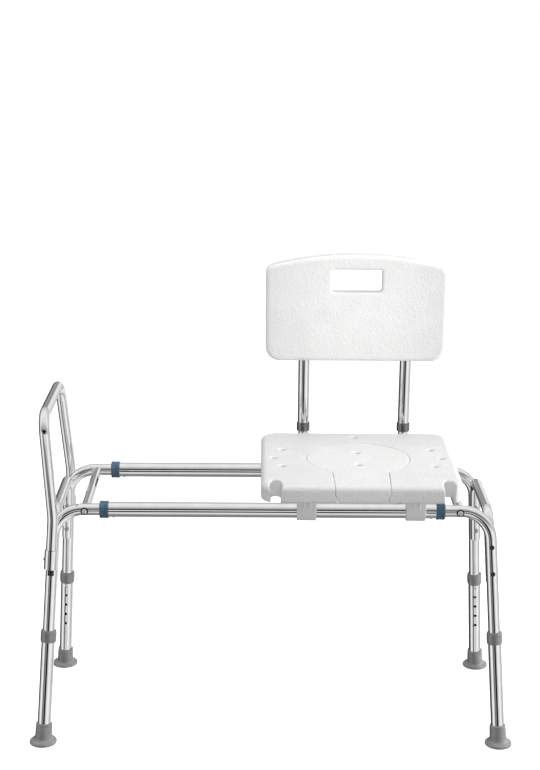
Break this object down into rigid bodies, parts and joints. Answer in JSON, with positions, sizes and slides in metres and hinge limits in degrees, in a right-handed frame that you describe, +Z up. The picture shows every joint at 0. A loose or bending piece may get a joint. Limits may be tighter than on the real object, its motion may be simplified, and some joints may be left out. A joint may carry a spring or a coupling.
{
  "type": "bath transfer bench",
  "caption": "Sliding bath transfer bench: a moulded seat with a backrest glides along chrome rails on height-adjustable legs, with a grab handle at one end.",
  "frame": {"origin": "on the floor, under the middle of the four feet", "axes": "+X along the rails away from the grab handle, -Y towards the front of the seat, +Z up"},
  "size_m": [1.042, 0.462, 0.989],
  "materials": {
    "chrome_tube": "bright polished chrome plate",
    "blue_collar": "slate blue moulded plastic, satin",
    "grey_collar": "mid grey moulded plastic, satin",
    "foot_rubber": "grey rubber, matt",
    "dark_bolt": "black oxide",
    "steel_fastener": "zinc plated steel",
    "snap_button": "plain steel",
    "white_moulding": "white blow-moulded plastic with a pebbled grain",
    "white_insert": "white blow-moulded plastic with a pebbled grain",
    "white_clamp": "smooth white moulded plastic",
    "dark_cap": "dark grey plastic, satin"
  },
  "bodies": {
    "frame": {"rail_front": "chrome_tube", "rail_rear": "chrome_tube", "rail_collars": "blue_collar", "end_tube_fl": "chrome_tube", "end_tube_fr": "chrome_tube", "end_tube_rl": "chrome_tube", "end_tube_rr": "chrome_tube", "cross_tube_left": "chrome_tube", "cross_tube_right": "chrome_tube", "cross_bolts": "steel_fastener", "arch_brace_left": "chrome_tube", "arch_brace_right": "chrome_tube", "arch_bolts": "dark_bolt", "handle_socket_front": "chrome_tube", "handle_socket_rear": "chrome_tube", "grab_handle": "chrome_tube"},
    "seat": {"seat_base": "white_moulding", "post_stub_left": "chrome_tube", "post_stub_right": "chrome_tube", "glide_clamps": "white_clamp", "glide_screws": "steel_fastener", "lock_housing": "white_clamp"},
    "insert": {"seat_insert": "white_insert"},
    "lock": {"lock_pin": "white_clamp"},
    "back": {"backrest": "white_moulding", "post_left": "chrome_tube", "post_right": "chrome_tube", "post_caps": "dark_cap", "post_plugs": "dark_cap", "back_screws": "steel_fastener"},
    "leg_fl": {"leg_tube_fl": "chrome_tube", "leg_collar_fl": "grey_collar", "foot_fl": "foot_rubber"},
    "leg_fr": {"leg_tube_fr": "chrome_tube", "leg_collar_fr": "grey_collar", "foot_fr": "foot_rubber"},
    "leg_rl": {"leg_tube_rl": "chrome_tube", "leg_collar_rl": "grey_collar", "foot_rl": "foot_rubber"},
    "leg_rr": {"leg_tube_rr": "chrome_tube", "leg_collar_rr": "grey_collar", "foot_rr": "foot_rubber"},
    "leg_button_fl": {"leg_button_fl": "snap_button"},
    "leg_button_fr": {"leg_button_fr": "snap_button"},
    "leg_button_rl": {"leg_button_rl": "snap_button"},
    "leg_button_rr": {"leg_button_rr": "snap_button"},
    "rail_button_fl": {"rail_button_fl": "snap_button"},
    "rail_button_fr": {"rail_button_fr": "snap_button"},
    "rail_button_rl": {"rail_button_rl": "snap_button"},
    "rail_button_rr": {"rail_button_rr": "snap_button"},
    "handle_button_front": {"handle_button_front": "snap_button"},
    "handle_button_rear": {"handle_button_rear": "snap_button"},
    "post_button_left": {"post_button_left": "snap_button"},
    "post_button_right": {"post_button_right": "snap_button"}
  },
  "joints": [
    {"name": "seat_slide", "type": "slide", "parent": "frame", "child": "seat", "axis": [1, 0, 0], "range_m": [-0.37, 0]},
    {"name": "insert_lift", "type": "slide", "parent": "seat", "child": "insert", "axis": [0, 0, 1], "range_m": [0, 0.06]},
    {"name": "back_lift", "type": "slide", "parent": "seat", "child": "back", "axis": [0, 0, 1], "range_m": [0, 0.1]},
    {"name": "seat_lock", "type": "slide", "parent": "seat", "child": "lock", "axis": [0, 0, 1], "range_m": [0, 0.008]},
    {"name": "leg_fl_height", "type": "slide", "parent": "frame", "child": "leg_fl", "axis": [0.0698, 0.128, 0.9893], "range_m": [0, 0.1016]},
    {"name": "leg_fr_height", "type": "slide", "parent": "frame", "child": "leg_fr", "axis": [-0.0698, 0.128, 0.9893], "range_m": [0, 0.1016]},
    {"name": "leg_rl_height", "type": "slide", "parent": "frame", "child": "leg_rl", "axis": [0.0698, -0.128, 0.9893], "range_m": [0, 0.1016]},
    {"name": "leg_rr_height", "type": "slide", "parent": "frame", "child": "leg_rr", "axis": [-0.0698, -0.128, 0.9893], "range_m": [0, 0.1016]},
    {"name": "leg_button_fl_press", "type": "slide", "parent": "frame", "child": "leg_button_fl", "axis": [0.009, -0.9918, 0.1277], "range_m": [-0.0043, 0]},
    {"name": "leg_button_fr_press", "type": "slide", "parent": "frame", "child": "leg_button_fr", "axis": [-0.009, -0.9918, 0.1277], "range_m": [-0.0043, 0]},
    {"name": "leg_button_rl_press", "type": "slide", "parent": "frame", "child": "leg_button_rl", "axis": [0.009, 0.9918, 0.1277], "range_m": [-0.0043, 0]},
    {"name": "leg_button_rr_press", "type": "slide", "parent": "frame", "child": "leg_button_rr", "axis": [-0.009, 0.9918, 0.1277], "range_m": [-0.0043, 0]},
    {"name": "rail_button_fl_press", "type": "slide", "parent": "frame", "child": "rail_button_fl", "axis": [0, 0, 1], "range_m": [0, 0.0052], "stiffness_N_per_m": 600, "springref_m": -0.004},
    {"name": "rail_button_fr_press", "type": "slide", "parent": "frame", "child": "rail_button_fr", "axis": [0, 0, 1], "range_m": [0, 0.0052], "stiffness_N_per_m": 600, "springref_m": -0.004},
    {"name": "rail_button_rl_press", "type": "slide", "parent": "frame", "child": "rail_button_rl", "axis": [0, 0, 1], "range_m": [0, 0.0052], "stiffness_N_per_m": 600, "springref_m": -0.004},
    {"name": "rail_button_rr_press", "type": "slide", "parent": "frame", "child": "rail_button_rr", "axis": [0, 0, 1], "range_m": [0, 0.0052], "stiffness_N_per_m": 600, "springref_m": -0.004},
    {"name": "handle_button_front_press", "type": "slide", "parent": "frame", "child": "handle_button_front", "axis": [0.9975, 0, -0.0704], "range_m": [0, 0.0052], "stiffness_N_per_m": 600, "springref_m": -0.004},
    {"name": "handle_button_rear_press", "type": "slide", "parent": "frame", "child": "handle_button_rear", "axis": [0.9975, 0, -0.0704], "range_m": [0, 0.0052], "stiffness_N_per_m": 600, "springref_m": -0.004},
    {"name": "post_button_left_press", "type": "slide", "parent": "seat", "child": "post_button_left", "axis": [0, -1, 0], "range_m": [-0.0043, 0]},
    {"name": "post_button_right_press", "type": "slide", "parent": "seat", "child": "post_button_right", "axis": [0, -1, 0], "range_m": [-0.0043, 0]}
  ]
}
